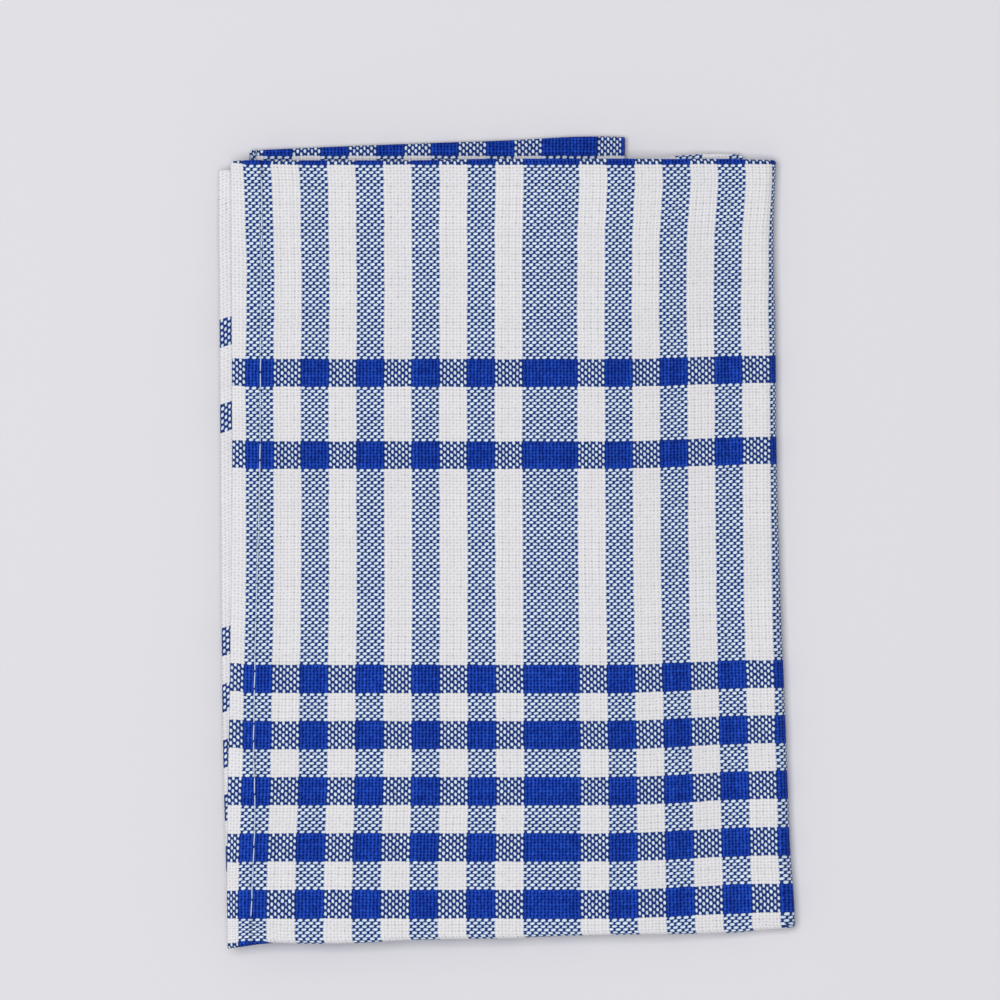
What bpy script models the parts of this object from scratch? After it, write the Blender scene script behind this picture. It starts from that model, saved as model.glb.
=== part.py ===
"""Cloth napkin, folded in thirds both ways and lying flat on a table.

One woven sheet, 450 mm wide and 700 mm long, hemmed all round. It is folded along its length
first: the inner panel turns back behind the face panel at the top, and the under panel turns
back behind both at the bottom. That gives one section of three layers. The section then runs
back and forth in three leaves: the top leaf from the left hem to the right fold, the middle
leaf back to the left fold, and the short bottom leaf out to the right hem.

Metres, +Z up. The origin is under the middle of the folded napkin, on the table. +Y points to
the end with the top folds, +X to the side with the right fold.
"""
import bmesh
import bpy
import numpy as np

MM = 0.001

# The cloth
CLOTH_THICKNESS = 1.0 * MM
LAYER_GAP = 0.32 * MM
LAYER_PITCH = CLOTH_THICKNESS + LAYER_GAP
HALF_CLOTH = CLOTH_THICKNESS / 2.0

# Heights of the layers over the middle of the lowest one in their leaf
UNDER_RISE = 0.0
INNER_RISE = LAYER_PITCH
FACE_RISE = 2.0 * LAYER_PITCH

# Bend radii, to the middle of the cloth
TOP_BEND = (FACE_RISE - INNER_RISE) / 2.0
BOTTOM_BEND = (FACE_RISE - UNDER_RISE) / 2.0
LEAF_PITCH = 3.0 * LAYER_PITCH
TIGHT_BEND = LAYER_PITCH / 2.0
WIDE_BEND = TIGHT_BEND + FACE_RISE
RIGHT_BEND_HEIGHT = HALF_CLOTH + 2.0 * LEAF_PITCH - TIGHT_BEND
LEFT_BEND_HEIGHT = HALF_CLOTH + LEAF_PITCH - TIGHT_BEND

# How the upper two leaves settle: down to the table past the bottom leaf's hem, and a little
# at the left, where the top leaf hangs past the left fold
SETTLE_CLEARANCE = 2.0 * MM
SETTLE_LENGTH = 38.0 * MM
DROOP_DEPTH = 1.1 * MM
DROOP_LENGTH = 9.0 * MM

# Segments in the faceted solid: round each bend, along each panel, and across each leaf, where
# a stretch is the share of the leaf that it reaches to and its number of segments
BEND_STEPS = 6
INNER_STEPS = 6
FACE_STEPS = 8
UNDER_STEPS = 7
TOP_STRETCHES = ((0.06, 3), (0.74, 8), (0.98, 7), (1.00, 1))
MIDDLE_STRETCHES = ((0.02, 1), (0.26, 7), (0.90, 7), (1.00, 3))
BOTTOM_STRETCHES = ((1.00, 6),)

# Side lines of the folded napkin, in mm, a row for each height along it.
SIDE_COLUMNS = ("y", "face_hem", "inner_hem", "under_hem", "right_fold", "left_fold", "right_hem")
SIDE_ROWS = (
    (126.0, -85.6, -84.4, -89.3, 82.7, -80.6, 36.1),
    (117.0, -85.5, -84.2, -89.3, 82.6, -80.7, 36.0),
    (75.0, -85.2, -84.0, -89.0, 82.3, -81.1, 35.9),
    (27.0, -85.0, -84.1, -88.7, 83.1, -81.3, 36.2),
    (-18.0, -85.4, -84.6, -88.4, 84.4, -81.5, 36.4),
    (-50.0, -85.8, -84.9, -88.1, 85.5, -81.6, 36.3),
    (-80.0, -86.4, -85.3, -87.5, 86.6, -81.8, 36.0),
    (-105.0, -86.6, -85.6, -86.8, 88.0, -81.8, 35.8),
    (-125.0, -86.4, -85.6, -86.4, 89.0, -81.7, 36.0),
)

# Folds and ends of the section, in mm, a row for each place across a leaf. "across" is 0 where
# the leaf starts and 1 where it ends, going from the left hem towards the right hem.
FOLD_COLUMNS = ("across", "top_fold", "bottom_fold", "under_end", "inner_end")
TOP_LEAF_ROWS = (
    (0.00, 117.4, -125.0, 114.6, -102.4),
    (0.05, 117.6, -123.9, 114.7, -102.6),
    (0.13, 117.6, -123.5, 114.9, -103.0),
    (0.24, 117.6, -123.3, 115.2, -103.5),
    (0.34, 117.6, -122.6, 115.6, -103.8),
    (0.46, 118.0, -122.1, 116.0, -103.9),
    (0.56, 118.1, -121.5, 116.4, -104.0),
    (0.66, 118.1, -120.9, 116.8, -104.2),
    (0.76, 118.1, -120.2, 117.2, -104.4),
    (0.82, 118.0, -119.8, 117.6, -104.4),
    (0.87, 118.0, -119.6, 118.0, -104.3),
    (0.92, 117.9, -119.5, 118.4, -104.1),
    (1.00, 117.4, -119.5, 118.9, -103.9),
)
MIDDLE_LEAF_ROWS = (
    (0.00, 117.4, -119.5, 118.9, -103.9),
    (0.05, 117.6, -119.5, 119.6, -103.7),
    (0.10, 117.5, -119.5, 119.7, -103.6),
    (0.15, 117.4, -119.4, 119.3, -103.4),
    (0.21, 117.3, -119.3, 118.4, -103.1),
    (0.28, 117.2, -119.2, 117.3, -102.8),
    (0.45, 117.0, -119.0, 115.8, -102.4),
    (0.65, 116.9, -118.7, 114.8, -102.2),
    (0.85, 117.0, -118.4, 114.0, -102.0),
    (0.94, 117.8, -118.2, 113.6, -101.9),
    (1.00, 120.4, -118.0, 113.4, -101.8),
)
BOTTOM_LEAF_ROWS = (
    (0.00, 120.6, -118.0, 113.4, -101.8),
    (0.20, 121.5, -117.8, 113.3, -102.0),
    (0.45, 122.6, -117.5, 113.2, -102.4),
    (0.70, 123.6, -117.2, 113.4, -102.7),
    (0.90, 124.8, -116.9, 113.6, -102.9),
    (1.00, 124.6, -116.8, 113.7, -103.0),
)


def columns(names, rows):
    """The rows as one array for each named column."""
    return dict(zip(names, np.array(rows).T))


SIDES = columns(SIDE_COLUMNS, SIDE_ROWS)
TOP_LEAF = columns(FOLD_COLUMNS, TOP_LEAF_ROWS)
MIDDLE_LEAF = columns(FOLD_COLUMNS, MIDDLE_LEAF_ROWS)
BOTTOM_LEAF = columns(FOLD_COLUMNS, BOTTOM_LEAF_ROWS)


def remove_objects():
    """Start with an empty scene."""
    for old in list(bpy.data.objects):
        bpy.data.objects.remove(old, do_unlink=True)


def smooth_between(at, places, values):
    """The value at a place, on a smooth curve through all the values."""
    slopes = np.gradient(values, places)
    low = int(np.clip(np.searchsorted(places, at) - 1, 0, len(places) - 2))
    span = places[low + 1] - places[low]
    part = np.clip((at - places[low]) / span, 0.0, 1.0)
    rest = 1.0 - part
    ends = values[low] * (1.0 + 2.0 * part) * rest**2 + values[low + 1] * (1.0 + 2.0 * rest) * part**2
    return ends + span * part * rest * (slopes[low] * rest - slopes[low + 1] * part)


def side(name, y):
    """Where a side line stands at the height y."""
    return smooth_between(-y / MM, -SIDES["y"], SIDES[name]) * MM


def fold_row(leaf, across):
    """The section's folds and ends at one place across a leaf."""
    return {name: smooth_between(across, leaf["across"], leaf[name]) * MM for name in FOLD_COLUMNS[1:]}


def lines_across(stretches):
    """Where the mesh lines stand across a leaf, from 0 to 1."""
    lines = [0.0]
    for reach, steps in stretches:
        lines.extend(np.linspace(lines[-1], reach, steps + 1)[1:])
    return lines


def smooth_step(value):
    """0 up to 0, 1 from 1, and an even curve between."""
    value = np.clip(value, 0.0, 1.0)
    return value * value * (3.0 - 2.0 * value)


def section(folds, offset):
    """One side of the three-layer section: y, rise, and the share of each layer, point by point.

    The section runs from the inner panel's end, over the top bend, down the face panel, round
    the bottom bend and up the under panel. The offset is measured outwards from its middle.
    """
    top_centre = folds["top_fold"] - TOP_BEND - HALF_CLOTH
    bottom_centre = folds["bottom_fold"] + BOTTOM_BEND + HALF_CLOTH
    points = []
    for y in np.linspace(folds["inner_end"], top_centre, INNER_STEPS, endpoint=False):
        points.append((y, INNER_RISE - offset, 0.0, 1.0))
    for angle in np.linspace(0.0, np.pi, BEND_STEPS, endpoint=False):
        share = angle / np.pi
        reach = TOP_BEND + offset
        rise = INNER_RISE + TOP_BEND - reach * np.cos(angle)
        points.append((top_centre + reach * np.sin(angle), rise, share, 1.0 - share))
    for y in np.linspace(top_centre, bottom_centre, FACE_STEPS, endpoint=False):
        points.append((y, FACE_RISE + offset, 1.0, 0.0))
    for angle in np.linspace(0.0, np.pi, BEND_STEPS, endpoint=False):
        share = 1.0 - angle / np.pi
        reach = BOTTOM_BEND + offset
        rise = BOTTOM_BEND + reach * np.cos(angle)
        points.append((bottom_centre - reach * np.sin(angle), rise, share, 0.0))
    for y in np.linspace(bottom_centre, folds["under_end"], UNDER_STEPS + 1):
        points.append((y, UNDER_RISE - offset, 0.0, 0.0))
    return points


def left_hem(y, face, inner):
    """The left hem's place, mixed from the layers that a point belongs to."""
    under = 1.0 - face - inner
    return face * side("face_hem", y) + inner * side("inner_hem", y) + under * side("under_hem", y)


def settled(x, y, z):
    """A point of the upper two leaves, let down where nothing lies under them."""
    start = side("right_hem", y) + SETTLE_CLEARANCE
    drop = LEAF_PITCH * smooth_step((x - start) / SETTLE_LENGTH)
    return (x, y, z - drop)


def on_top_leaf(across, y, rise, face, inner):
    """A section point on the top leaf."""
    start = left_hem(y, face, inner)
    end = side("right_fold", y) - WIDE_BEND - HALF_CLOTH
    x = start + across * (end - start)
    past_fold = (side("left_fold", y) + WIDE_BEND - x) / DROOP_LENGTH
    droop = DROOP_DEPTH * max(past_fold, 0.0) ** 2
    return settled(x, y, RIGHT_BEND_HEIGHT + TIGHT_BEND + rise - droop)


def on_right_bend(turn, y, rise, face, inner):
    """A section point on the bend from the top leaf down to the middle leaf."""
    reach = TIGHT_BEND + rise
    x = side("right_fold", y) - WIDE_BEND - HALF_CLOTH + reach * np.sin(turn * np.pi)
    return settled(x, y, RIGHT_BEND_HEIGHT + reach * np.cos(turn * np.pi))


def on_middle_leaf(across, y, rise, face, inner):
    """A section point on the middle leaf, whose layers lie the other way up."""
    start = side("right_fold", y) - WIDE_BEND - HALF_CLOTH
    end = side("left_fold", y) + WIDE_BEND
    x = start + across * (end - start)
    return settled(x, y, RIGHT_BEND_HEIGHT - TIGHT_BEND - rise)


def on_left_bend(turn, y, rise, face, inner):
    """A section point on the bend from the middle leaf down to the bottom leaf."""
    reach = WIDE_BEND - rise
    x = side("left_fold", y) + WIDE_BEND - reach * np.sin(turn * np.pi)
    return (x, y, LEFT_BEND_HEIGHT + reach * np.cos(turn * np.pi))


def on_bottom_leaf(across, y, rise, face, inner):
    """A section point on the bottom leaf."""
    start = side("left_fold", y) + WIDE_BEND
    x = start + across * (side("right_hem", y) - start)
    return (x, y, HALF_CLOTH + rise)


def stations():
    """Each place where a section stands, in order, as its placing function, amount and folds."""
    turns = np.linspace(0.0, 1.0, BEND_STEPS + 1)[1:-1]
    for across in lines_across(TOP_STRETCHES):
        yield on_top_leaf, across, fold_row(TOP_LEAF, across)
    for turn in turns:
        yield on_right_bend, turn, fold_row(MIDDLE_LEAF, 0.0)
    for across in lines_across(MIDDLE_STRETCHES):
        yield on_middle_leaf, across, fold_row(MIDDLE_LEAF, across)
    for turn in turns:
        yield on_left_bend, turn, fold_row(BOTTOM_LEAF, 0.0)
    for across in lines_across(BOTTOM_STRETCHES):
        yield on_bottom_leaf, across, fold_row(BOTTOM_LEAF, across)


def station_points(place, amount, folds):
    """The outer and the inner side of one section, placed in space."""
    sides = []
    for offset in (HALF_CLOTH, -HALF_CLOTH):
        sides.append([place(amount, *point) for point in section(folds, offset)])
    return sides


def centred(rings):
    """All points, moved so that the origin is under the middle of the folded napkin."""
    points = np.array(rings)
    low = points.min(axis=(0, 1, 2))
    high = points.max(axis=(0, 1, 2))
    points[..., 0] -= (low[0] + high[0]) / 2.0
    points[..., 1] -= (low[1] + high[1]) / 2.0
    points[..., 2] -= low[2]
    return points


def skin(model, verts):
    """Faces between neighbouring sections, along both ends and over both side hems."""
    count, _, length = verts.shape
    last = length - 1
    for one in range(count - 1):
        two = one + 1
        for at in range(last):
            model.faces.new((verts[one, 0, at], verts[two, 0, at], verts[two, 0, at + 1], verts[one, 0, at + 1]))
            model.faces.new((verts[one, 1, at], verts[one, 1, at + 1], verts[two, 1, at + 1], verts[two, 1, at]))
        for at in (0, last):
            model.faces.new((verts[one, 0, at], verts[one, 1, at], verts[two, 1, at], verts[two, 0, at]))
    for at in range(last):
        for row in (0, count - 1):
            model.faces.new((verts[row, 0, at], verts[row, 0, at + 1], verts[row, 1, at + 1], verts[row, 1, at]))


def cloth_material():
    """Soft white and blue cotton, given here as its mean colour."""
    material = bpy.data.materials.new("checked_cotton")
    material.use_nodes = True
    shader = material.node_tree.nodes["Principled BSDF"]
    shader.inputs["Base Color"].default_value = (0.42, 0.48, 0.68, 1.0)
    shader.inputs["Roughness"].default_value = 0.9
    shader.inputs["Metallic"].default_value = 0.0
    return material


def make_napkin():
    """The whole folded sheet as one closed solid."""
    points = centred([station_points(*station) for station in stations()])
    model = bmesh.new()
    verts = np.empty(points.shape[:3], dtype=object)
    for index in np.ndindex(verts.shape):
        verts[index] = model.verts.new(points[index])
    skin(model, verts)
    bmesh.ops.recalc_face_normals(model, faces=model.faces)
    bmesh.ops.triangulate(model, faces=model.faces)
    mesh = bpy.data.meshes.new("napkin_cloth")
    model.to_mesh(mesh)
    model.free()
    mesh.materials.append(cloth_material())
    napkin = bpy.data.objects.new("napkin_cloth", mesh)
    bpy.context.scene.collection.objects.link(napkin)
    return napkin


remove_objects()
make_napkin()
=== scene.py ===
"""Checked cloth napkin, folded in thirds both ways and lying flat on a pale table.

The napkin is one hemmed sheet of plain weave, 450 mm wide and 700 mm long, with blue stripes in
the warp and blue bands in the weft. It is folded along its length first: the inner panel turns
back behind the face panel at the top, and the under panel turns back behind both at the bottom.
That section of three layers then runs in three leaves: the top leaf from the left hem to the
right fold, the middle leaf back to the left fold, and the short bottom leaf to the right hem.

Laid out as an add-on: each operator makes one group of pieces from the sizes in the panel.
"""

import bpy
import numpy as np
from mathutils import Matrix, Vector, noise


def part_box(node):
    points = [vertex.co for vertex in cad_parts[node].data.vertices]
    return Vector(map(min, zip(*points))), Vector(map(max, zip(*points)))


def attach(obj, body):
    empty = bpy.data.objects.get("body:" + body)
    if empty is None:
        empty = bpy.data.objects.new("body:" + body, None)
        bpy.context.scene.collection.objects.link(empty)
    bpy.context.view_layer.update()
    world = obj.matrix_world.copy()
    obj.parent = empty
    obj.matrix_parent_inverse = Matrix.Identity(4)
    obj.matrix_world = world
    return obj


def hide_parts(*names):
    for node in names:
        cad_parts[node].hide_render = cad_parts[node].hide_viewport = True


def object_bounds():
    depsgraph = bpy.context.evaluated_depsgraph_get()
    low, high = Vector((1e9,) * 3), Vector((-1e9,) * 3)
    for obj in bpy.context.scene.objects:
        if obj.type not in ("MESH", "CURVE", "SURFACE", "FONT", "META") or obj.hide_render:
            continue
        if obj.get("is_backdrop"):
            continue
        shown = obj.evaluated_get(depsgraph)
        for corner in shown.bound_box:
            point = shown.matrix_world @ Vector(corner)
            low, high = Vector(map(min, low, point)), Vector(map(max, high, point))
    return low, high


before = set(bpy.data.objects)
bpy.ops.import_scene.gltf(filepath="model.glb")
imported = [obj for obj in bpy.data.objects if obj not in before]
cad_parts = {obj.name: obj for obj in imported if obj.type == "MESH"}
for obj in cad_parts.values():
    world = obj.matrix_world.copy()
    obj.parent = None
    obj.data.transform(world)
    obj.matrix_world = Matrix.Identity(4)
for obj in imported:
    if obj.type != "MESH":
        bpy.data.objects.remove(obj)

bl_info = {
    "name": "Folded Checked Napkin",
    "version": (1, 0, 0),
    "blender": (4, 5, 0),
    "location": "View3D > Sidebar > Napkin",
    "description": "Makes a folded checked cotton napkin, its hem stitches and a plain studio",
    "category": "Object",
}

CAD_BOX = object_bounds()
MM = 0.001

# How the layers lie: their pitch in the pile, how far their outer skin is from their middle, and
# the heights that follow
LAYER_PITCH = 1.32 * MM
HALF_SOLID = 0.5 * MM
SKIN = 0.43 * MM
UNDER_RISE = 0.0
INNER_RISE = LAYER_PITCH
FACE_RISE = 2.0 * LAYER_PITCH
TOP_BEND = (FACE_RISE - INNER_RISE) / 2.0
BOTTOM_BEND = (FACE_RISE - UNDER_RISE) / 2.0
LEAF_PITCH = 3.0 * LAYER_PITCH
TIGHT_BEND = LAYER_PITCH / 2.0
WIDE_BEND = TIGHT_BEND + FACE_RISE
RIGHT_BEND_HEIGHT = HALF_SOLID + 2.0 * LEAF_PITCH - TIGHT_BEND
LEFT_BEND_HEIGHT = HALF_SOLID + LEAF_PITCH - TIGHT_BEND
PILE_HEIGHT = HALF_SOLID + 2.0 * LEAF_PITCH + FACE_RISE

# How the upper two leaves settle past the bottom leaf's hem, and droop past the left fold
SETTLE_CLEARANCE = 2.0 * MM
SETTLE_LENGTH = 38.0 * MM
DROOP_DEPTH = 1.1 * MM
DROOP_LENGTH = 9.0 * MM

# The part of the left bend, from 0 to 1, over which its folds pass from leaf to leaf
LEFT_BEND_PASSAGE = 0.45

# How the sheet gets its thickness near a seam, and at a corner where two hems meet
SEAM_STEP_START = 0.2 * MM
SEAM_STEP_WIDTH = 1.4 * MM
SEAM_PINCH = 0.07 * MM
SEAM_PINCH_WIDTH = 0.5 * MM
CORNER_EDGE = 2.0 * MM

# A distance for places that no edge is near
FAR = 1.0

# Soft unevenness of the pile: waves per metre across and along, where to start in the noise,
# and how much the fine waves count
BROAD_WAVES = (14.0, 9.0, 0.3)
FINE_WAVES = (55.0, 38.0, 4.1)
FINE_SHARE = 0.35

# Side lines of the folded napkin, in mm, a row for each height along it
SIDE_COLUMNS = ("y", "face_hem", "inner_hem", "under_hem", "right_fold", "left_fold", "right_hem")
SIDE_ROWS = (
    (126.0, -85.6, -84.4, -89.3, 82.7, -80.6, 36.1),
    (117.0, -85.5, -84.2, -89.3, 82.7, -80.7, 36.0),
    (108.0, -85.4, -84.2, -89.3, 82.3, -80.8, 36.0),
    (95.0, -85.3, -84.1, -89.3, 82.0, -80.9, 36.0),
    (84.0, -85.3, -84.0, -89.1, 82.1, -81.0, 35.9),
    (73.0, -85.2, -84.0, -89.0, 82.4, -81.1, 35.9),
    (58.0, -85.1, -84.0, -88.9, 82.6, -81.2, 36.0),
    (27.0, -85.0, -84.1, -88.7, 82.9, -81.3, 36.2),
    (-18.0, -85.4, -84.6, -88.4, 84.2, -81.5, 36.4),
    (-50.0, -85.8, -84.9, -88.1, 85.4, -81.6, 36.3),
    (-80.0, -86.4, -85.3, -87.5, 86.5, -81.8, 36.0),
    (-95.0, -86.5, -85.5, -87.1, 87.1, -81.8, 35.9),
    (-105.0, -86.6, -85.6, -86.8, 87.9, -81.8, 35.8),
    (-125.0, -86.4, -85.6, -86.4, 89.0, -81.7, 36.0),
)

# Folds and ends of the section, in mm, a row for each place across a leaf, from 0 to 1
FOLD_COLUMNS = ("across", "top_fold", "bottom_fold", "under_end", "inner_end")
TOP_LEAF_ROWS = (
    (0.000, 117.4, -125.5, 114.6, -102.4),
    (0.030, 117.6, -124.7, 114.7, -102.5),
    (0.075, 117.6, -123.8, 114.8, -102.7),
    (0.130, 117.6, -123.9, 114.9, -103.0),
    (0.240, 117.6, -123.7, 115.2, -103.5),
    (0.285, 117.6, -123.2, 115.3, -103.6),
    (0.340, 117.6, -122.8, 115.4, -103.8),
    (0.460, 118.0, -122.4, 115.7, -103.9),
    (0.510, 118.1, -122.3, 115.8, -104.0),
    (0.560, 118.1, -121.8, 115.9, -104.0),
    (0.610, 118.1, -121.5, 116.0, -104.1),
    (0.670, 118.1, -121.3, 116.1, -104.2),
    (0.720, 118.1, -121.1, 116.2, -104.3),
    (0.770, 118.1, -121.1, 116.2, -104.4),
    (0.820, 118.0, -121.0, 116.2, -104.4),
    (0.870, 118.1, -120.9, 116.2, -104.3),
    (0.920, 118.1, -120.5, 116.2, -104.1),
    (0.960, 118.0, -119.9, 116.2, -104.0),
    (1.000, 117.8, -119.4, 116.2, -103.9),
)
MIDDLE_LEAF_ROWS = (
    (0.000, 117.8, -119.4, 116.2, -103.9),
    (0.022, 117.8, -119.4, 116.4, -103.8),
    (0.030, 117.8, -119.5, 117.0, -103.7),
    (0.040, 117.7, -119.5, 119.0, -103.7),
    (0.052, 117.6, -119.7, 119.5, -103.6),
    (0.075, 117.6, -119.8, 119.6, -103.6),
    (0.100, 117.5, -119.9, 119.7, -103.6),
    (0.150, 117.4, -120.2, 119.3, -103.4),
    (0.210, 117.3, -120.3, 118.4, -103.1),
    (0.280, 117.2, -120.4, 117.3, -102.8),
    (0.450, 117.0, -121.1, 115.8, -102.4),
    (0.650, 116.9, -121.9, 114.8, -102.2),
    (0.850, 117.0, -122.9, 114.0, -102.0),
    (0.940, 117.1, -123.0, 113.6, -101.9),
    (1.000, 117.6, -123.0, 113.4, -101.8),
)
BOTTOM_LEAF_ROWS = (
    (0.00, 120.9, -123.0, 113.4, -101.8),
    (0.20, 121.9, -122.8, 113.3, -102.0),
    (0.45, 123.0, -121.9, 113.2, -102.4),
    (0.70, 124.0, -121.1, 113.4, -102.7),
    (0.90, 125.1, -120.6, 113.6, -102.9),
    (1.00, 124.9, -120.4, 113.7, -103.0),
)

# Where the stripes run on the top leaf's face, in mm: the first stripe's near edge, the middle
# of the double stripe and the last stripe's near edge, a row for each height along it; then the
# stripe units at the hem and at those three lines
STRIPE_COLUMNS = ("y", "first", "double", "last")
STRIPE_ROWS = (
    (118.0, -82.0, 13.3, 81.4),
    (111.5, -81.4, 13.4, 81.9),
    (104.0, -81.1, 13.2, 81.4),
    (95.0, -80.88, 12.92, 80.55),
    (84.0, -80.5, 12.9, 80.35),
    (75.0, -80.55, 12.9, 80.15),
    (52.0, -80.85, 12.9, 80.6),
    (27.0, -80.8, 12.9, 80.8),
    (-18.0, -80.85, 13.2, 81.3),
    (-42.0, -81.4, 13.4, 81.9),
    (-76.0, -82.0, 13.7, 82.8),
    (-95.0, -82.85, 13.6, 83.3),
    (-112.0, -83.25, 13.5, 84.0),
)
STRIPE_UNITS = (0.0, 0.5, 11.5, 19.5)

# How far the bands sag below even spacing on the top leaf's face, and at its hem, in mm
SAG_COLUMNS = ("y", "sag", "hem_sag")
SAG_ROWS = (
    (117.0, 0.61, 0.06),
    (85.0, 0.50, 0.15),
    (56.7, 0.56, 0.35),
    (47.8, 0.50, 0.21),
    (31.0, 0.24, -0.15),
    (22.5, 0.11, -0.30),
    (-37.7, 0.60, -0.10),
    (-46.5, 0.72, 0.00),
    (-55.0, 0.76, 0.30),
    (-64.0, 0.84, 0.45),
    (-76.0, 0.96, 0.83),
    (-94.0, 1.17, 1.34),
    (-107.0, 1.40, 1.75),
    (-116.0, 1.72, 1.80),
    (-125.0, 1.80, 2.60),
)
HEM_SAG_REACH = 3.6 * MM

# How far the bands rise at the right of the top leaf's face, in mm
LIFT_COLUMNS = ("y", "lift")
LIFT_ROWS = (
    (118.0, 0.2), (110.0, 0.55), (52.0, 1.2), (27.0, 1.5), (-42.0, 1.5), (-59.0, 1.75), (-77.0, 1.85),
    (-94.0, 1.75), (-122.0, 1.7),
)
LIFT_START = 30.0 * MM
LIFT_END = 82.0 * MM

# How far the bands are pulled up at the top leaf's lower left corner, and where
CORNER_PULL = 1.7 * MM
CORNER_X = -69.5 * MM
CORNER_Y = -115.5 * MM
CORNER_REACH = 6.5 * MM

# How far the under panel's bands run ahead of an unstretched sheet, in mm
LEAD_COLUMNS = ("y", "lead")
LEAD_ROWS = (
    (120.0, 7.2), (65.6, 7.4), (39.4, 7.7), (-29.6, 7.9), (-47.0, 8.3), (-63.9, 8.8), (-80.2, 9.0),
    (-95.8, 7.9), (-111.6, 6.0), (-118.0, 3.2), (-123.2, 0.0),
)

# Stripe units at the ends of the leaves, each for the face, inner and under panels; the face's
# own lines give the one that it turns at
HEM_UNITS = (0.0, 0.0, -0.15)
TURN_UNITS = (19.35, 18.94)
MIDDLE_LEAF_UNITS = ((20.55, 20.05, 19.20), (39.1, 38.6, 38.1))

# The same on the bottom leaf, at shares of its width
BOTTOM_LEAF_SHARES = (0.0, 0.05, 0.13, 0.275, 0.42, 0.50, 0.924, 1.0)
BOTTOM_LEAF_UNITS = (39.27, 39.93, 40.94, 42.84, 44.77, 45.87, 51.48, 52.64)

# The band pattern's zero line on the top leaf and on the other two leaves
TOP_ZERO = 39.7 * MM
BOTTOM_ZERO = 42.0 * MM

# Seam lines, from the cloth's edge, in mm: the left hem's on the face wanders
SEAM_COLUMNS = ("y", "seam")
SEAM_ROWS = (
    (117.0, 9.6), (100.0, 9.4), (45.0, 8.7), (20.0, 8.5), (-39.0, 7.6), (-61.0, 7.7), (-76.0, 8.4),
    (-96.0, 8.0), (-112.0, 7.35), (-123.0, 7.2),
)
PLAIN_SEAM = 8.4 * MM

# Mesh lines, as distances from a cloth edge and as numbers of steps
EDGE_LINES = np.array((0.0, 0.06, 0.2, 0.42, 0.9, 2.6, 4.6, 6.4, 7.4, 8.2, 9.0, 9.8, 10.8)) * MM
TOP_LEAF_STEPS = 82
MIDDLE_LEAF_STEPS = 62
BOTTOM_LEAF_STEPS = 44
SIDE_BEND_STEPS = 14
INNER_STEPS = 22
FACE_STEPS = 104
UNDER_STEPS = 26
TOP_BEND_STEPS = 12
BOTTOM_BEND_STEPS = 14

# The bake map's islands, each as its left, low, right and high edges
TOP_FACE_ISLAND = (0.004, 0.004, 0.686, 0.996)
LOWER_FACES_ISLAND = (0.694, 0.004, 0.996, 0.270)
INNER_ISLAND = (0.694, 0.278, 0.996, 0.425)
UNDER_ISLAND = (0.694, 0.433, 0.996, 0.590)
BACK_ISLAND = (0.694, 0.598, 0.996, 0.996)

# The weave pattern, read by the cloth's material: stripes in units of ends, bands in picks
ENDS_PER_UNIT = 8.0
DOUBLE_STRIPES = (11.5, 50.5)
BAND_HALF_PERIOD = 184.5
PAIR_BANDS = (9.0, 18.0)
BAND_GROUP_START = 81.0
BAND_PITCH = 18.0

# How a thread waves over and under, how much narrower it is where it dips, how it leans where it
# lies on top, and its half width, for the warp and the weft, in threads
THREAD_CRIMP = 0.32
THREAD_SWELL = 0.27
WARP_LEAN = 0.10
WEFT_LEAN = -0.17
THREAD_HALVES = (0.39, 0.475)

# How much a half width differs from thread to thread and from crossing to crossing
HALF_BY_THREAD = 0.05
HALF_BY_CROSSING = 0.10

# How the threads wander: waves per metre of cloth, and the sway in threads
SLOW_WANDER = (55.0, 0.35)
QUICK_WANDER = (480.0, 0.42)

# Patches and fibres in the cloth, in waves per metre
PATCH_WAVES = 60.0
FIBRE_WAVES = 5200.0

# The small gaps between threads, where painted shade falls: from how far, in pairs of threads, the shade
# deepens to their middle, how much luck counts beside the patches, and where a gap starts and is fully there
GAP_REACH = (0.24, 0.06)
GAP_LUCK = 0.35
GAP_WANTED = (0.50, 0.85)

# The thread heights where the painted shade between the threads is deepest and where it is gone, how far from
# its middle a solid blue thread starts to take painted shade on its sides, and by how much that shade darkens
# it
CREST_HEIGHTS = (0.25, 1.12)
GROOVE_PLACES = (0.15, 0.5)
GROOVE_SHADE = 0.45

# How uneven a crossing's colour is in the white, and how much more with any blue and all blue
CROSSING_WHITE = 0.10
CROSSING_ANY_BLUE = 0.12
CROSSING_ALL_BLUE = 0.20

# By how much each thread, patch and fibre may darken the cloth at random, and how dark the painted shade is
# in the gaps between threads and along the seams
THREAD_SHADE = 0.03
BLUE_THREAD_SHADE = 0.20
PATCH_SHADE = 0.10
FIBRE_SHADE = 0.30
GAP_SHADE = 0.33
SEAM_SHADE = 0.35

# Where the painted shade along the seam's dent starts and is deepest, and where the gaps and their painted
# shade stop at a hem, in metres
SEAM_DENT = (0.0007, 0.0002)
HEM_SIDE = (-0.0005, 0.0005)

# Heights in the bump: of white threads, how much more with any blue, of fibres, and its strength
WHITE_RELIEF = 0.3
BLUE_RELIEF = 0.7
FIBRE_RELIEF = 0.12
BUMP_STRENGTH = 0.75

# The tint of the painted shade that darkens each colour down between the threads
PLAIN_WHITE_SHADE_TINT = (0.78, 0.78, 0.79, 1.0)
CHECK_WHITE_WARP_SHADE_TINT = (0.12, 0.16, 0.34, 1.0)
CHECK_WHITE_WEFT_SHADE_TINT = (0.34, 0.42, 0.64, 1.0)
PLAIN_BLUE_SHADE_TINT = (0.0, 0.14, 0.40, 1.0)
CHECK_BLUE_SHADE_TINT = (0.15, 0.25, 0.40, 1.0)
FULL = (1.0, 1.0, 1.0, 1.0)

# Gloss of all the cottons
COTTON_SPECULAR = 0.06
COTTON_SHEEN_ROUGHNESS = 0.5
CLOTH_SHEEN = 0.02
THREAD_SHEEN = 0.1
THREAD_ROUGHNESS = 0.6
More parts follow.
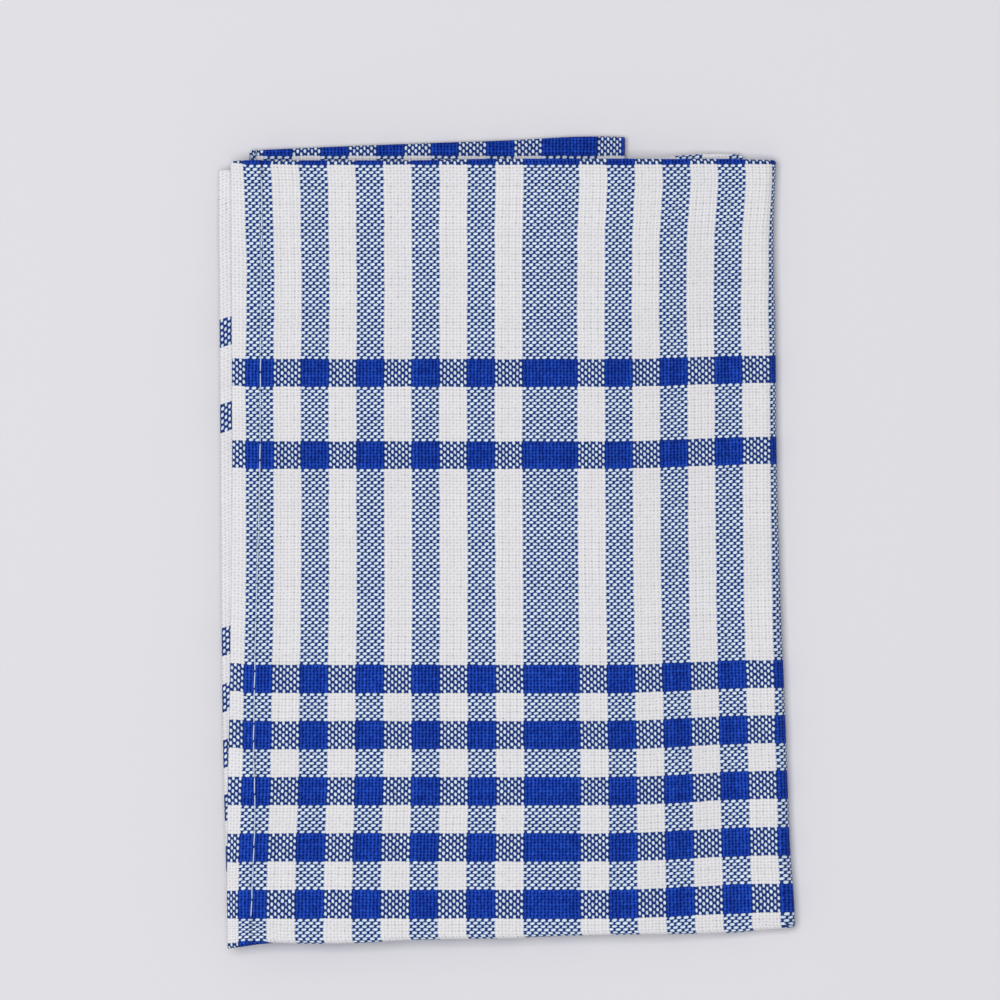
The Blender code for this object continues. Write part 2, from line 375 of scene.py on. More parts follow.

# The sewing thread's twist: its turns, how dark the painted shade in its hollows is, and their depth and
# strength
TWIST_TURNS = 9.0
TWIST_SHADE = 0.88
TWIST_DEPTH = 0.05 * MM
TWIST_STRENGTH = 0.5

# A stitch's arc, in thread diameters from the cloth's skin, and the steps along and around it
STITCH_END_DEPTH = -0.62
STITCH_CREST = 1.04
STITCH_STEPS = 7
STITCH_SIDES = 6

# The stage
FLOOR_HALF = 4.0
FLOOR_ROUGHNESS = 0.9
FLOOR_WAVES = 2.0
FLOOR_SHADE = 0.99
KEY_PLACE = (-0.38, 0.03, 2.3)
CAMERA_X = -2.15 * MM
CAMERA_Y = 13.44 * MM
CAMERA_REACH = 20.0


# ---------------------------------------------------------------- settings


class NapkinClothSettings(bpy.types.PropertyGroup):
    """Sizes and colours of the woven sheet."""

    sheet_thickness: bpy.props.FloatProperty(
        name="Sheet Thickness", description="Thickness of the sheet between its hems",
        default=0.00086, min=0.0001, precision=5, unit="LENGTH")
    hem_thickness: bpy.props.FloatProperty(
        name="Hem Thickness", description="Thickness of the turned hems",
        default=0.00100, min=0.0001, precision=5, unit="LENGTH")
    end_pitch: bpy.props.FloatProperty(
        name="End Pitch", description="Distance from one warp thread to the next",
        default=0.00105875, min=0.0001, precision=6, unit="LENGTH")
    pick_pitch: bpy.props.FloatProperty(
        name="Pick Pitch", description="Distance from one weft thread to the next",
        default=0.000951, min=0.0001, precision=6, unit="LENGTH")
    unevenness: bpy.props.FloatProperty(
        name="Unevenness", description="How far the top of the pile rises and falls",
        default=0.00028, min=0.0, precision=5, unit="LENGTH")
    relief: bpy.props.FloatProperty(
        name="Thread Relief", description="Height of the threads over the gaps between them",
        default=0.00022, min=0.0, precision=6, unit="LENGTH")
    white_yarn: bpy.props.FloatVectorProperty(
        name="White Yarn", description="Colour of the white cotton",
        default=(0.845, 0.835, 0.865, 1.0), size=4, min=0.0, max=1.0, subtype="COLOR")
    blue_yarn: bpy.props.FloatVectorProperty(
        name="Blue Yarn", description="Colour of the dyed blue cotton",
        default=(0.017, 0.078, 0.50, 1.0), size=4, min=0.0, max=1.0, subtype="COLOR")
    white_in_check: bpy.props.FloatVectorProperty(
        name="White in Check", description="Colour of the white cotton where blue threads cross it",
        default=(0.80, 0.92, 1.0, 1.0), size=4, min=0.0, max=1.0, subtype="COLOR")
    blue_in_check: bpy.props.FloatVectorProperty(
        name="Blue in Check", description="Colour of the blue cotton where white threads cross it",
        default=(0.016, 0.042, 0.24, 1.0), size=4, min=0.0, max=1.0, subtype="COLOR")
    roughness: bpy.props.FloatProperty(
        name="Roughness", description="Roughness of the cotton",
        default=0.86, min=0.0, max=1.0, subtype="FACTOR")


class NapkinStitchSettings(bpy.types.PropertyGroup):
    """Sizes and colour of the hem stitches."""

    stitch_length: bpy.props.FloatProperty(
        name="Stitch Length", description="Visible length of one stitch",
        default=0.0056, min=0.0005, precision=5, unit="LENGTH")
    stitch_pitch: bpy.props.FloatProperty(
        name="Stitch Pitch", description="Distance from one stitch to the next",
        default=0.0054, min=0.0006, precision=5, unit="LENGTH")
    thread_diameter: bpy.props.FloatProperty(
        name="Thread Diameter", description="Diameter of the sewing thread",
        default=0.00036, min=0.00005, precision=6, unit="LENGTH")
    fold_margin: bpy.props.FloatProperty(
        name="Fold Margin", description="Distance from a fold or corner to the nearest stitch's middle",
        default=0.0073, min=0.0, precision=4, unit="LENGTH")
    sway: bpy.props.FloatProperty(
        name="Sway", description="How far a stitch may turn from the seam line",
        default=0.035, min=0.0, unit="ROTATION")
    thread_colour: bpy.props.FloatVectorProperty(
        name="Thread Colour", description="Colour of the sewing thread",
        default=(0.68, 0.80, 1.0, 1.0), size=4, min=0.0, max=1.0, subtype="COLOR")
    seed: bpy.props.IntProperty(
        name="Seed", description="Choice of the stitches' small turns", default=5, min=0)


class NapkinStageSettings(bpy.types.PropertyGroup):
    """Floor, lights and camera."""

    floor_colour: bpy.props.FloatVectorProperty(
        name="Floor Colour", description="Colour of the plain table",
        default=(0.80, 0.79, 0.825, 1.0), size=4, min=0.0, max=1.0, subtype="COLOR")
    key_power: bpy.props.FloatProperty(
        name="Key Power", description="Power of the large soft light over the table",
        default=34.2, min=0.0, unit="POWER")
    key_width: bpy.props.FloatProperty(
        name="Key Width", description="Width of the soft light",
        default=1.3, min=0.1, unit="LENGTH")
    sky_strength: bpy.props.FloatProperty(
        name="Sky Strength", description="Strength of the even light from all round",
        default=0.37, min=0.0)
    view_width: bpy.props.FloatProperty(
        name="View Width", description="Width of the table that the camera sees",
        default=0.308, min=0.05, unit="LENGTH")
    camera_height: bpy.props.FloatProperty(
        name="Camera Height", description="Height of the camera over the napkin",
        default=5.0, min=0.2, unit="LENGTH")


# ---------------------------------------------------------------- folded shape


def columns(names, rows):
    """The rows as one array for each named column."""
    return dict(zip(names, np.array(rows).T))


SIDES = columns(SIDE_COLUMNS, SIDE_ROWS)
TOP_LEAF = columns(FOLD_COLUMNS, TOP_LEAF_ROWS)
MIDDLE_LEAF = columns(FOLD_COLUMNS, MIDDLE_LEAF_ROWS)
BOTTOM_LEAF = columns(FOLD_COLUMNS, BOTTOM_LEAF_ROWS)
STRIPES = columns(STRIPE_COLUMNS, STRIPE_ROWS)
SAGS = columns(SAG_COLUMNS, SAG_ROWS)
LIFTS = columns(LIFT_COLUMNS, LIFT_ROWS)
LEADS = columns(LEAD_COLUMNS, LEAD_ROWS)
SEAMS = columns(SEAM_COLUMNS, SEAM_ROWS)


def smooth_between(at, places, values):
    """The value at each place, on a smooth curve through all the values."""
    slopes = np.gradient(values, places)
    low = np.clip(np.searchsorted(places, at) - 1, 0, len(places) - 2)
    span = places[low + 1] - places[low]
    part = np.clip((at - places[low]) / span, 0.0, 1.0)
    rest = 1.0 - part
    ends = values[low] * (1.0 + 2.0 * part) * rest**2 + values[low + 1] * (1.0 + 2.0 * rest) * part**2
    return ends + span * part * rest * (slopes[low] * rest - slopes[low + 1] * part)


def by_height(table, name, y):
    """A column of a table whose rows go down the napkin, at the height y."""
    return smooth_between(-y / MM, -table["y"], table[name]) * MM


def side(name, y):
    """Where a side line stands at the height y."""
    return by_height(SIDES, name, y)


def right_bend_at(y):
    """Where the leaves' flat parts end at the right, at the height y."""
    return side("right_fold", y) - WIDE_BEND - HALF_SOLID


def left_bend_at(y):
    """Where the lower two leaves' flat parts end at the left, at the height y."""
    return side("left_fold", y) + WIDE_BEND


def fold_row(leaf, across):
    """The section's folds and ends at one place across a leaf."""
    places = leaf["across"]
    return {name: smooth_between(across, places, leaf[name]) * MM for name in FOLD_COLUMNS[1:]}


def blended(one, two, share):
    """One value or the other, by a share."""
    return one * (1.0 - share) + two * share


def smooth_step(value):
    """0 up to 0, 1 from 1, and an even curve between."""
    value = np.clip(value, 0.0, 1.0)
    return value * value * (3.0 - 2.0 * value)


def edge_shares(length, steps, from_start, from_end):
    """Shares from 0 to 1 along a stretch, with close lines at a cloth edge at either end."""
    near = EDGE_LINES / length
    start = near if from_start else np.zeros(1)
    end = 1.0 - near[::-1] if from_end else np.ones(1)
    middle = np.linspace(start[-1], end[0], steps + 1)[1:-1]
    return np.concatenate((start, middle, end))


SECTION_VALUES = ("y", "rise", "out_y", "out_rise", "face", "inner", "run", "edge")


class Section:
    """The three-layer section at one station, as arrays with one entry for each point.

    It runs from the inner panel's end, over the top bend, down the face panel, round the bottom
    bend and up the under panel. y and rise place the middle of the sheet; out_y and out_rise
    point to its outer side; face and inner are the shares of those panels; run is the length of
    cloth from the start of the face panel, and edge is the distance from the nearer end.
    """

    def __init__(self, folds):
        top = folds["top_fold"] - TOP_BEND - HALF_SOLID
        bottom = folds["bottom_fold"] + BOTTOM_BEND + HALF_SOLID
        self.top = top
        self.parts = []
        inner_length = top - folds["inner_end"]
        shares = edge_shares(inner_length, INNER_STEPS, True, False)[:-1]
        y = folds["inner_end"] + shares * inner_length
        run = -np.pi * (TOP_BEND + SKIN) - (top - y)
        self.add(y, INNER_RISE, 0.0, -1.0, 0.0, 1.0, run, shares * inner_length)
        angle = np.linspace(0.0, np.pi, TOP_BEND_STEPS, endpoint=False)
        share = angle / np.pi
        run = (TOP_BEND + SKIN) * (angle - np.pi)
        self.add(top + TOP_BEND * np.sin(angle), INNER_RISE + TOP_BEND * (1.0 - np.cos(angle)),
                 np.sin(angle), -np.cos(angle), share, 1.0 - share, run)
        y = np.linspace(top, bottom, FACE_STEPS, endpoint=False)
        self.add(y, FACE_RISE, 0.0, 1.0, 1.0, 0.0, top - y)
        angle = np.linspace(0.0, np.pi, BOTTOM_BEND_STEPS, endpoint=False)
        self.add(bottom - BOTTOM_BEND * np.sin(angle), BOTTOM_BEND * (1.0 + np.cos(angle)),
                 -np.sin(angle), np.cos(angle), 1.0 - angle / np.pi, 0.0,
                 top - bottom + (BOTTOM_BEND + SKIN) * angle)
        under_length = folds["under_end"] - bottom
        shares = edge_shares(under_length, UNDER_STEPS, False, True)
        y = bottom + shares * under_length
        run = top - bottom + np.pi * (BOTTOM_BEND + SKIN) + shares * under_length
        run = run + by_height(LEADS, "lead", y)
        self.add(y, UNDER_RISE, 0.0, -1.0, 0.0, 0.0, run, (1.0 - shares) * under_length)
        for at, name in enumerate(SECTION_VALUES):
            setattr(self, name, np.concatenate([part[at] for part in self.parts]))

    def add(self, y, *values):
        """Add a stretch of points, which no edge is near unless the values say so."""
        values = (y, *values, FAR)[:len(SECTION_VALUES)]
        self.parts.append([np.broadcast_to(value, y.shape) for value in values])


def left_hem(y, face, inner):
    """The left hem's place, mixed from the panels that a point belongs to."""
    under = 1.0 - face - inner
    return face * side("face_hem", y) + inner * side("inner_hem", y) + under * side("under_hem", y)


def settled(x, y, z):
    """Points of the upper two leaves, let down where nothing lies under them."""
    start = side("right_hem", y) + SETTLE_CLEARANCE
    return x, z - LEAF_PITCH * smooth_step((x - start) / SETTLE_LENGTH)


def on_top_leaf(across, y, rise, face, inner):
    """Section points on the top leaf."""
    start = left_hem(y, face, inner)
    x = start + across * (right_bend_at(y) - start)
    past_fold = (left_bend_at(y) - x) / DROOP_LENGTH
    droop = DROOP_DEPTH * np.maximum(past_fold, 0.0) ** 2
    return settled(x, y, RIGHT_BEND_HEIGHT + TIGHT_BEND + rise - droop)


def on_right_bend(turn, y, rise, face, inner):
    """Section points on the bend from the top leaf down to the middle leaf."""
    reach = TIGHT_BEND + rise
    x = right_bend_at(y) + reach * np.sin(turn * np.pi)
    return settled(x, y, RIGHT_BEND_HEIGHT + reach * np.cos(turn * np.pi))


def on_middle_leaf(across, y, rise, face, inner):
    """Section points on the middle leaf, whose panels lie the other way up."""
    start = right_bend_at(y)
    x = start + across * (left_bend_at(y) - start)
    return settled(x, y, RIGHT_BEND_HEIGHT - TIGHT_BEND - rise)


def on_left_bend(turn, y, rise, face, inner):
    """Section points on the bend from the middle leaf down to the bottom leaf."""
    reach = WIDE_BEND - rise
    x = left_bend_at(y) - reach * np.sin(turn * np.pi)
    return x, LEFT_BEND_HEIGHT + reach * np.cos(turn * np.pi)


def on_bottom_leaf(across, y, rise, face, inner):
    """Section points on the bottom leaf."""
    start = left_bend_at(y)
    return start + across * (side("right_hem", y) - start), HALF_SOLID + rise


def units_on_face(x, y):
    """Stripe units at a place on the top leaf's face, which the stripes' own lines fix."""
    lines = [side("face_hem", y)] + [by_height(STRIPES, name, y) for name in STRIPE_COLUMNS[1:]]
    near, middle, far = (
        units + (more - units) * (x - line) / (next_line - line)
        for units, more, line, next_line in zip(STRIPE_UNITS, STRIPE_UNITS[1:], lines, lines[1:]))
    return np.where(x < lines[1], near, np.where(x < lines[2], middle, far))


def mixed(values, section):
    """One value for each section point, mixed from its face, inner and under values."""
    face, inner, under = values
    return section.face * face + section.inner * inner + (1.0 - section.face - section.inner) * under


def turn_units(section):
    """Stripe units where each panel enters the right bend."""
    face = units_on_face(right_bend_at(section.y), section.y)
    return mixed((face, *TURN_UNITS), section)


def units_at(place, amount, section, x):
    """Stripe units across the cloth, for each point of a section."""
    start, end = (mixed(row, section) for row in MIDDLE_LEAF_UNITS)
    if place is on_top_leaf:
        even = blended(mixed(HEM_UNITS, section), turn_units(section), amount)
        return blended(even, units_on_face(x, section.y), section.face)
    if place is on_right_bend:
        return blended(turn_units(section), start, amount)
    if place is on_middle_leaf:
        return blended(start, end, amount)
    if place is on_left_bend:
        return blended(end, BOTTOM_LEAF_UNITS[0], amount)
    return np.full_like(x, np.interp(amount, BOTTOM_LEAF_SHARES, BOTTOM_LEAF_UNITS))


def zero_line(place, amount, section, x):
    """Height of the band pattern's zero line over the section's start of the face panel."""
    sag, hem_sag = (by_height(SAGS, name, section.y) for name in SAG_COLUMNS[1:])
    lift = by_height(LIFTS, "lift", section.y)
    if place is on_top_leaf:
        lift = lift * smooth_step((x - LIFT_START) / (LIFT_END - LIFT_START))
        corner = [smooth_step(depth / CORNER_REACH) for depth in (CORNER_X - x, CORNER_Y - section.y)]
        lift = lift + CORNER_PULL * (corner[0] * corner[1])
        hem_share = smooth_step((x - side("face_hem", section.y)) / HEM_SAG_REACH - 0.5)
        sag = hem_sag + (sag - hem_sag) * hem_share
    share = {on_top_leaf: 0.0, on_right_bend: 0.0, on_middle_leaf: amount}.get(place, 1.0)
    return blended(TOP_ZERO - (1.0 - section.inner) * sag + lift, BOTTOM_ZERO, share)


def stations(width):
    """Each place where a section stands, in order, as its placing function, amount and folds."""
    turns = np.linspace(0.0, 1.0, SIDE_BEND_STEPS + 1)[1:-1]
    for across in edge_shares(width, TOP_LEAF_STEPS, True, False):
        yield on_top_leaf, across, fold_row(TOP_LEAF, across)
    for turn in turns:
        yield on_right_bend, turn, fold_row(MIDDLE_LEAF, 0.0)
    for across in np.linspace(0.0, 1.0, MIDDLE_LEAF_STEPS + 1):
        yield on_middle_leaf, across, fold_row(MIDDLE_LEAF, across)
    above, below = fold_row(MIDDLE_LEAF, 1.0), fold_row(BOTTOM_LEAF, 0.0)
    for turn in turns:
        share = smooth_step(turn / LEFT_BEND_PASSAGE)
        folds = {name: blended(above[name], below[name], share) for name in above}
        yield on_left_bend, turn, folds
    bottom_width = side("right_hem", 0.0) - side("left_fold", 0.0) - WIDE_BEND
    for across in edge_shares(bottom_width, BOTTOM_LEAF_STEPS, False, True):
        yield on_bottom_leaf, across, fold_row(BOTTOM_LEAF, across)


def half_thickness(cloth, edge, seam):
    """Half the sheet's thickness at a distance from its nearest edge, rounded over at the edge."""
    sheet, hem = cloth.sheet_thickness / 2.0, cloth.hem_thickness / 2.0
    body = hem + (sheet - hem) * smooth_step((edge - seam + SEAM_STEP_START) / SEAM_STEP_WIDTH)
    pinch = SEAM_PINCH * np.exp(-((edge - seam) / SEAM_PINCH_WIDTH) ** 2)
    inward = np.clip(1.0 - edge / hem, 0.0, 1.0)
    return (body - pinch) * np.sqrt(1.0 - inward**2)


def unevenness(x, y):
    """Soft unevenness of the pile at a place, from -1 to 1."""
    broad, fine = (noise.noise(Vector((x * across, y * along, start)))
                   for across, along, start in (BROAD_WAVES, FINE_WAVES))
    return broad + FINE_SHARE * fine


class Grid:
    """The folded sheet as a grid of stations across and points along it."""

    def __init__(self, cloth):
        outer, inner, cloth_map, edges, seams = [], [], [], [], []
        width = right_bend_at(0.0) - side("face_hem", 0.0)
        for place, amount, folds in stations(width):
            section = Section(folds)
            shares = (section.face, section.inner)
            x, _ = place(amount, section.y, section.rise, *shares)
            seam = np.full_like(x, PLAIN_SEAM)
            if place is on_top_leaf:
                edge_across = x - left_hem(section.y, *shares)
                seam += section.face * (by_height(SEAMS, "seam", section.y) - PLAIN_SEAM)
                self.left_seam = seam
            elif place is on_bottom_leaf:
                edge_across = side("right_hem", section.y) - x
            else:
                edge_across = np.full_like(x, FAR)
            halves = (half_thickness(cloth, edge_across, seam),
                      half_thickness(cloth, section.edge, PLAIN_SEAM))
            inside = np.minimum(edge_across, section.edge) > CORNER_EDGE
            half = np.where(inside, np.maximum(*halves), np.minimum(*halves))
            for store, offset in ((outer, half), (inner, -half)):
                y = section.y + offset * section.out_y
                x, z = place(amount, y, section.rise + offset * section.out_rise, *shares)
                store.append(np.stack((x, y, z), axis=-1))
            units = units_at(place, amount, section, x)
            run = zero_line(place, amount, section, x) - section.top + section.run
            cloth_map.append(np.stack((units * ENDS_PER_UNIT * cloth.end_pitch, run), axis=-1))
            edges.append(np.stack((edge_across, section.edge), axis=-1))
            from_side, from_end = edge_across - seam, section.edge - PLAIN_SEAM
            seams.append(np.where(np.abs(from_side) < np.abs(from_end), from_side, from_end))
        self.outer = self.laid(np.array(outer), cloth.unevenness)
        self.inner = self.laid(np.array(inner), cloth.unevenness)
        self.map = np.array(cloth_map)
        self.edges = np.array(edges)
        self.seams = np.array(seams)

    @staticmethod
    def laid(points, amount):
        """The points, uneven towards the top of the pile."""
        flat = points.reshape(-1, 3)
        rise = np.array([unevenness(x, y) for x, y, _ in flat])
        flat[:, 2] += amount * rise * np.clip(flat[:, 2] / PILE_HEIGHT, 0.0, 1.0) ** 2
        return points


# ---------------------------------------------------------------- node trees


class Tree:
    """Adds nodes to one tree, a short line for each."""

    def __init__(self, tree):
        self.tree = tree

    def node(self, kind, values=(), **settings):
        """A node with its settings, and values or sockets for its inputs by name or number."""
        node = self.tree.nodes.new(kind)
        for name, value in settings.items():
            setattr(node, name, value)
        for socket, value in dict(values).items():
            self.put(node.inputs[socket], value)
        return node

    def put(self, socket, value):
        """Link a socket to another, or set its value."""
        if isinstance(value, bpy.types.NodeSocket):
            self.tree.links.new(value, socket)
        else:
            socket.default_value = value

    def math(self, operation, *values, clamp=False):
        """The result of one Math node."""
        settings = {"operation": operation, "use_clamp": clamp}
        return self.node("ShaderNodeMath", enumerate(values), **settings).outputs[0]

    def add(self, one, two):
        """The sum of two values."""
        return self.math("ADD", one, two)

    def less(self, one, two):
        """One value less another."""
        return self.math("SUBTRACT", one, two)

    def times(self, one, two):
        """The product of two values."""
        return self.math("MULTIPLY", one, two)

    def scaled(self, value, factor, offset):
        """A value times a factor, with an offset."""
        return self.math("MULTIPLY_ADD", value, factor, offset)

    def darkened(self, value, share, amount):
        """The value, darkened by up to an amount where the share is 1."""
        taken = self.times(share, amount)
        return self.times(value, self.less(1.0, taken))

    def ramp(self, value, low, high):
        """The value's place between low and high, from 0 to 1 and smooth at both ends."""
        values = {"Value": value, "From Min": low, "From Max": high}
        return self.node("ShaderNodeMapRange", values, interpolation_type="SMOOTHSTEP").outputs["Result"]

    def mix(self, share, one, two, blend="MIX"):
        """One colour or the other, by a share."""
        node = self.node("ShaderNodeMix", data_type="RGBA", blend_type=blend)
        for socket, value in zip((node.inputs[0], node.inputs[6], node.inputs[7]), (share, one, two)):
            self.put(socket, value)
        return node.outputs[2]

    def joined(self, *parts):
        """A vector of up to three values."""
        return self.node("ShaderNodeCombineXYZ", enumerate(parts)).outputs[0]

    def parts(self, vector):
        """A vector's three values."""
        return self.node("ShaderNodeSeparateXYZ", {0: vector}).outputs

    def noise(self, place, waves, detail):
        """A noise texture's node, by its waves per metre."""
        return self.node("ShaderNodeTexNoise", {"Vector": place, "Scale": waves, "Detail": detail})

    def random(self, sides, **place):
        """A fixed random texture's outputs for each whole number or pair of numbers."""
        values = {name.title(): value for name, value in place.items()}
        return self.node("ShaderNodeTexWhiteNoise", values, noise_dimensions=sides).outputs

    def dented(self, shader, strength, depth, height):
        """Give a shader a bump from a height."""
        values = {"Strength": strength, "Distance": depth, "Height": height}
        self.put(shader.inputs["Normal"], self.node("ShaderNodeBump", values).outputs["Normal"])

    def spread(self):
        """Set the nodes out in columns, each to the left of what it feeds."""
        depth = {node.name: 0 for node in self.tree.nodes}
        for _ in self.tree.nodes:
            moved = False
            for link in self.tree.links:
                if depth[link.from_node.name] <= depth[link.to_node.name]:
                    depth[link.from_node.name] = depth[link.to_node.name] + 1
                    moved = True
            if not moved:
                break
        rows = {}
        for node in self.tree.nodes:
            column = depth[node.name]
            rows[column] = rows.get(column, 0) + 1
            node.location = (-190.0 * column, -170.0 * rows[column])


def new_material(name, roughness, sheen):
    """An empty cotton material: its tree helper and its Principled shader."""
    material = bpy.data.materials.new(name)
    material.use_nodes = True
    shader = material.node_tree.nodes["Principled BSDF"]
    for socket, value in (("Roughness", roughness), ("Specular IOR Level", COTTON_SPECULAR),
                          ("Sheen Weight", sheen), ("Sheen Roughness", COTTON_SHEEN_ROUGHNESS)):
        shader.inputs[socket].default_value = value
    return material, Tree(material.node_tree), shader


def wandering(tree, place, waves, amount):
    """Two sockets that sway by an amount in threads, slowly over the cloth."""
    moved = tree.node("ShaderNodeVectorMath", {0: place, 1: (waves, waves, waves)}, operation="MULTIPLY")
    wander = tree.noise(moved.outputs[0], 1.0, 1.0).outputs["Color"]
    parts = tree.node("ShaderNodeSeparateColor", {0: wander}).outputs
    return [tree.scaled(part, amount, -amount / 2.0) for part in parts[:2]]


def one_random(tree, number, salt):
    """A fixed random number for each whole number."""
    return tree.random("1D", w=tree.add(number, salt))["Value"]


def warp_is_blue(tree, end):
    """1 on the blue ends: every other unit, shifted by one between the double stripes."""
    units = tree.math("DIVIDE", tree.add(end, 0.5), ENDS_PER_UNIT)
    past, before = (tree.math("GREATER_THAN", units, mark) for mark in DOUBLE_STRIPES)
    shifted = tree.less(units, tree.less(past, before))
    turn = tree.math("FRACT", tree.scaled(shifted, 0.5, -0.25))
    return tree.math("LESS_THAN", turn, 0.5)


def weft_is_blue(tree, pick):
    """1 on the blue picks: groups of even bands, with a close pair between the groups."""
    folded = tree.math("PINGPONG", tree.add(pick, 0.5), BAND_HALF_PERIOD)
    in_pair = tree.times(tree.math("GREATER_THAN", folded, PAIR_BANDS[0]),
                         tree.math("LESS_THAN", folded, PAIR_BANDS[1]))
    bands = tree.math("DIVIDE", tree.less(folded, BAND_GROUP_START), BAND_PITCH)
    turn = tree.math("FRACT", bands)
    in_group = tree.times(tree.math("GREATER_THAN", folded, BAND_GROUP_START),
                          tree.math("LESS_THAN", turn, 0.5))
    return tree.math("MAXIMUM", in_pair, in_group)


def thread_height(tree, over, along, across, half_width, lean):
    """Height of a thread in a weave cell, along and across being measured from the cell's middle.

    over is 1 where the thread lies on top and -1 where it dips. It waves, is widest where it lies
    on top, and leans there.
    """
    wave = tree.times(tree.math("COSINE", tree.times(along, np.pi)), over)
    leant = tree.times(tree.times(along, over), lean)
    wide = tree.times(half_width, tree.scaled(wave, THREAD_SWELL, 1.0 - THREAD_SWELL))
    share = tree.math("DIVIDE", tree.less(across, leant), wide)
    round_off = tree.math("SUBTRACT", 1.0, tree.times(share, share), clamp=True)
    return tree.scaled(wave, THREAD_CRIMP, tree.math("SQRT", round_off))


class Weave:
    """Sockets that tell, at each place on the cloth, which threads cross there and which shows."""

    def __init__(self, tree, cloth):
        self.tree = tree
        self.place = tree.node("ShaderNodeUVMap", uv_map="cloth").outputs["UV"]
        axes = tree.parts(self.place)
        slow = wandering(tree, self.place, *SLOW_WANDER)
        quick = wandering(tree, self.place, *QUICK_WANDER)
        self.threads = []
        for at, pitch in enumerate((cloth.end_pitch, cloth.pick_pitch)):
            counted = tree.scaled(axes[at], 1.0 / pitch, slow[at])
            self.threads.append(tree.add(counted, quick[at]))
        end, pick = (tree.math("FLOOR", thread) for thread in self.threads)
        self.side_x, side_y = (tree.less(tree.math("FRACT", thread), 0.5) for thread in self.threads)

        warp_blue, weft_blue = warp_is_blue(tree, end), weft_is_blue(tree, pick)
        self.any_blue = tree.math("MAXIMUM", warp_blue, weft_blue)
        self.all_blue = tree.times(warp_blue, weft_blue)
        self.in_check = tree.less(self.any_blue, self.all_blue)

        crossing = tree.random("2D", vector=tree.joined(end, pick))["Color"]
        chances = tree.node("ShaderNodeSeparateColor", {0: crossing}).outputs
        self.chance = chances[2]
        by_thread = one_random(tree, end, 0.5), one_random(tree, pick, 700.5)
        self.thread_chance = tree.add(*by_thread)
        parity = tree.math("FLOORED_MODULO", tree.add(end, pick), 2.0)
        over = tree.scaled(parity, -2.0, 1.0)
        under = tree.times(over, -1.0)
        halves = [self.half_width(*parts) for parts in zip(THREAD_HALVES, by_thread, chances[:2])]
        warp = thread_height(tree, over, side_y, self.side_x, halves[0], WARP_LEAN)
        weft = thread_height(tree, under, self.side_x, side_y, halves[1], WEFT_LEAN)
        self.height = tree.math("MAXIMUM", warp, weft)
        self.weft_shows = tree.math("GREATER_THAN", weft, warp)
        self.blue_shows = tree.mix(self.weft_shows, warp_blue, weft_blue)

    def half_width(self, base, by_thread, by_crossing):
        """A thread's half width, a little different for each thread and at each crossing."""
        least = base - (HALF_BY_THREAD + HALF_BY_CROSSING) / 2.0
        half = self.tree.scaled(by_thread, HALF_BY_THREAD, least)
        return self.tree.scaled(by_crossing, HALF_BY_CROSSING, half)

    def gaps(self, patches):
        """1 in the small gaps left at every other crossing of threads, in some patches."""
        tree = self.tree
        nearest, off = [], []
        for thread in self.threads:
            half = tree.times(thread, 0.5)
            nearest.append(tree.math("ROUND", half))
            off.append(tree.less(half, nearest[-1]))
        reach = tree.node("ShaderNodeVectorMath", {0: tree.joined(*off)}, operation="LENGTH")
        luck = tree.random("2D", vector=tree.joined(*nearest))["Value"]
        wanted = tree.ramp(tree.scaled(luck, GAP_LUCK, patches), *GAP_WANTED)
        return tree.times(tree.ramp(reach.outputs["Value"], *GAP_REACH), wanted)


def yarn_colour(tree, weave, cloth):
    """The colour of the yarn that shows, and the tint of the painted shade on it down between the threads."""
    white = tree.mix(weave.in_check, cloth.white_yarn, cloth.white_in_check)
    blue = tree.mix(weave.in_check, cloth.blue_yarn, cloth.blue_in_check)
    shaded_check_white_tint = tree.mix(weave.weft_shows, CHECK_WHITE_WARP_SHADE_TINT, CHECK_WHITE_WEFT_SHADE_TINT)
    shaded_white_tint = tree.mix(weave.in_check, PLAIN_WHITE_SHADE_TINT, shaded_check_white_tint)
    shaded_blue_tint = tree.mix(weave.in_check, PLAIN_BLUE_SHADE_TINT, CHECK_BLUE_SHADE_TINT)
    return (tree.mix(weave.blue_shows, white, blue),
            tree.mix(weave.blue_shows, shaded_white_tint, shaded_blue_tint))


def crest_share(tree, weave):
    """1 on the crests of the threads, where no painted shade falls, and 0 down between them, where it is
    deepest; lower on the sides of solid blue threads, and uneven from crossing to crossing.
    """
    crest = tree.ramp(weave.height, *CREST_HEIGHTS)
    groove = tree.ramp(tree.math("ABSOLUTE", weave.side_x), *GROOVE_PLACES)
    # Painted shade on the sides of solid blue threads
    crest = tree.darkened(crest, tree.times(groove, weave.all_blue), GROOVE_SHADE)
    uneven = tree.scaled(weave.any_blue, CROSSING_ANY_BLUE, CROSSING_WHITE)
    uneven = tree.scaled(weave.all_blue, CROSSING_ALL_BLUE, uneven)
    return tree.math("SUBTRACT", crest, tree.times(weave.chance, uneven), clamp=True)


def cloth_random_and_painted_shade(tree, weave, fibres):
    """How light each place is: darker at random by its threads, patches and fibres, and by the painted shade
    in its gaps and along its seams.
    """
    patches = tree.noise(weave.place, PATCH_WAVES, 3.0).outputs["Fac"]
    inside = tree.node("ShaderNodeAttribute", attribute_name="seam").outputs["Fac"]
    gaps = tree.times(weave.gaps(patches), tree.ramp(inside, *HEM_SIDE))
    dent = tree.ramp(tree.math("ABSOLUTE", inside), *SEAM_DENT)
    light = 1.0
    for share, amount in (
        (tree.less(1.0, weave.thread_chance), tree.scaled(weave.all_blue, BLUE_THREAD_SHADE, THREAD_SHADE)),
        (tree.less(0.5, patches), PATCH_SHADE),
        (tree.less(0.5, fibres), FIBRE_SHADE),
        # Painted shade in the small gaps between threads
        (gaps, GAP_SHADE),
        # Painted shade along the seam's dent, where there is blue
        (dent, tree.times(weave.any_blue, SEAM_SHADE)),
    ):
        light = tree.darkened(light, share, amount)
    return light


